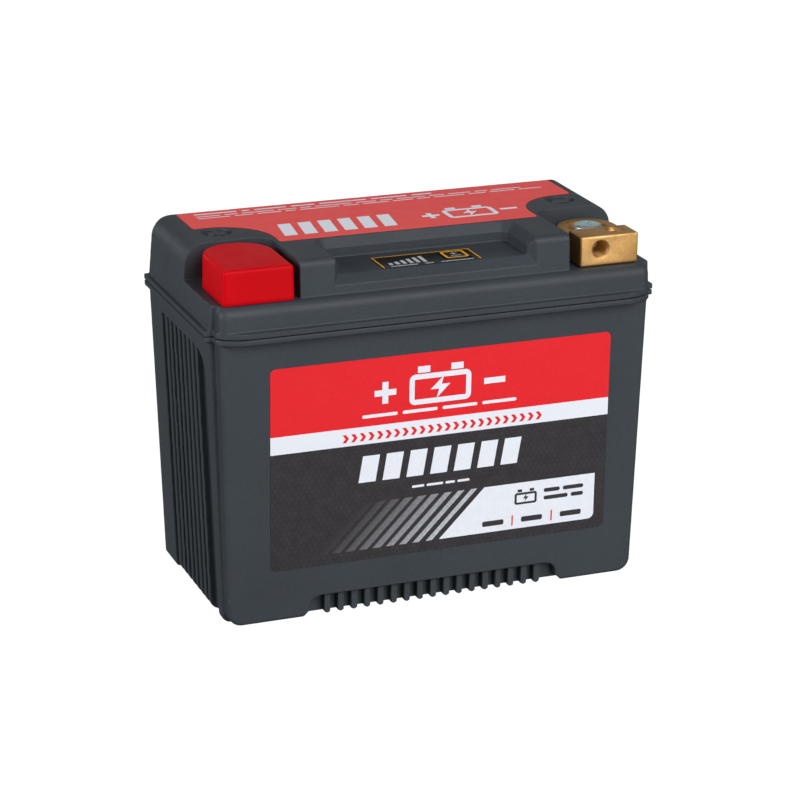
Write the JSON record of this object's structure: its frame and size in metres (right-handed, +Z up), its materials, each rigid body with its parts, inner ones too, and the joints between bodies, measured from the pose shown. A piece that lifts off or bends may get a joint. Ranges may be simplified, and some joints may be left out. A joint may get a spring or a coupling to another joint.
{
  "type": "motorcycle battery",
  "caption": "Lithium motorcycle battery: ribbed case with glued lid, corner brass terminals, lift-off red terminal cap, charge indicator with test button and hold-down foot grooves.",
  "frame": {"origin": "middle of the underside, on the surface the battery stands on", "axes": "+X along the long front face from the positive terminal to the negative terminal, +Y from the front face to the back, +Z up"},
  "size_m": [0.166, 0.086, 0.13],
  "materials": {
    "case_plastic": "fine-grained moulded polypropylene",
    "lid_plastic": "fine-grained moulded polypropylene",
    "seal": "black sealing strip",
    "brass": "sand-cast and machined brass",
    "zinc_steel": "clear zinc-plated steel",
    "red_cap": "soft red vinyl",
    "front_label": "printed satin film",
    "top_label": "printed satin film",
    "charge_label": "printed black film with yellow outlines",
    "button": "printed black key with a yellow frame",
    "circuit_board": "green solder mask",
    "component_black": "epoxy moulding",
    "light_guide": "clear acrylic over a diode",
    "flat_cable": "polyester ribbon",
    "cell_sleeve": "aluminium can in a blue sleeve",
    "tab_metal": "milled aluminium",
    "copper": "bare copper strip",
    "foam": "closed-cell foam",
    "spacer_sheet": "pressed fibre sheet",
    "strap_tape": "woven polyester tape",
    "nylon": "natural nylon"
  },
  "bodies": {
    "root": {"balance_resistors": "component_black", "base_pad": "foam", "board_standoffs": "nylon", "case": "case_plastic", "cell_1": "cell_sleeve", "cell_2": "cell_sleeve", "cell_3": "cell_sleeve", "cell_4": "cell_sleeve", "cell_spacers": "spacer_sheet", "cell_straps": "strap_tape", "cell_tabs": "tab_metal", "charge_label": "charge_label", "charge_lights": "light_guide", "end_pads": "foam", "front_label": "front_label", "indicator_board": "circuit_board", "indicator_cable": "flat_cable", "indicator_screws": "zinc_steel", "lid": "lid_plastic", "lid_seal": "seal", "management_board": "circuit_board", "negative_strap": "copper", "negative_terminal": "brass", "positive_strap": "copper", "positive_terminal": "brass", "power_transistors": "component_black", "sense_pins": "copper", "series_links": "copper", "terminal_inserts": "brass", "terminal_screws": "zinc_steel", "terminal_washers": "zinc_steel", "test_switch": "component_black", "top_label": "top_label"},
    "terminal_cap": {"terminal_cap": "red_cap"},
    "test_button": {"test_button": "button", "switch_plunger": "component_black"}
  },
  "joints": [
    {"name": "terminal_cap_lift", "type": "slide", "parent": "root", "child": "terminal_cap", "axis": [0, 0, 1], "range_m": [0, 0.03]},
    {"name": "test_button_press", "type": "slide", "parent": "root", "child": "test_button", "axis": [0, 0, -1], "range_m": [0, 0.0004], "stiffness_N_per_m": 2500, "springref_m": -0.0002}
  ]
}
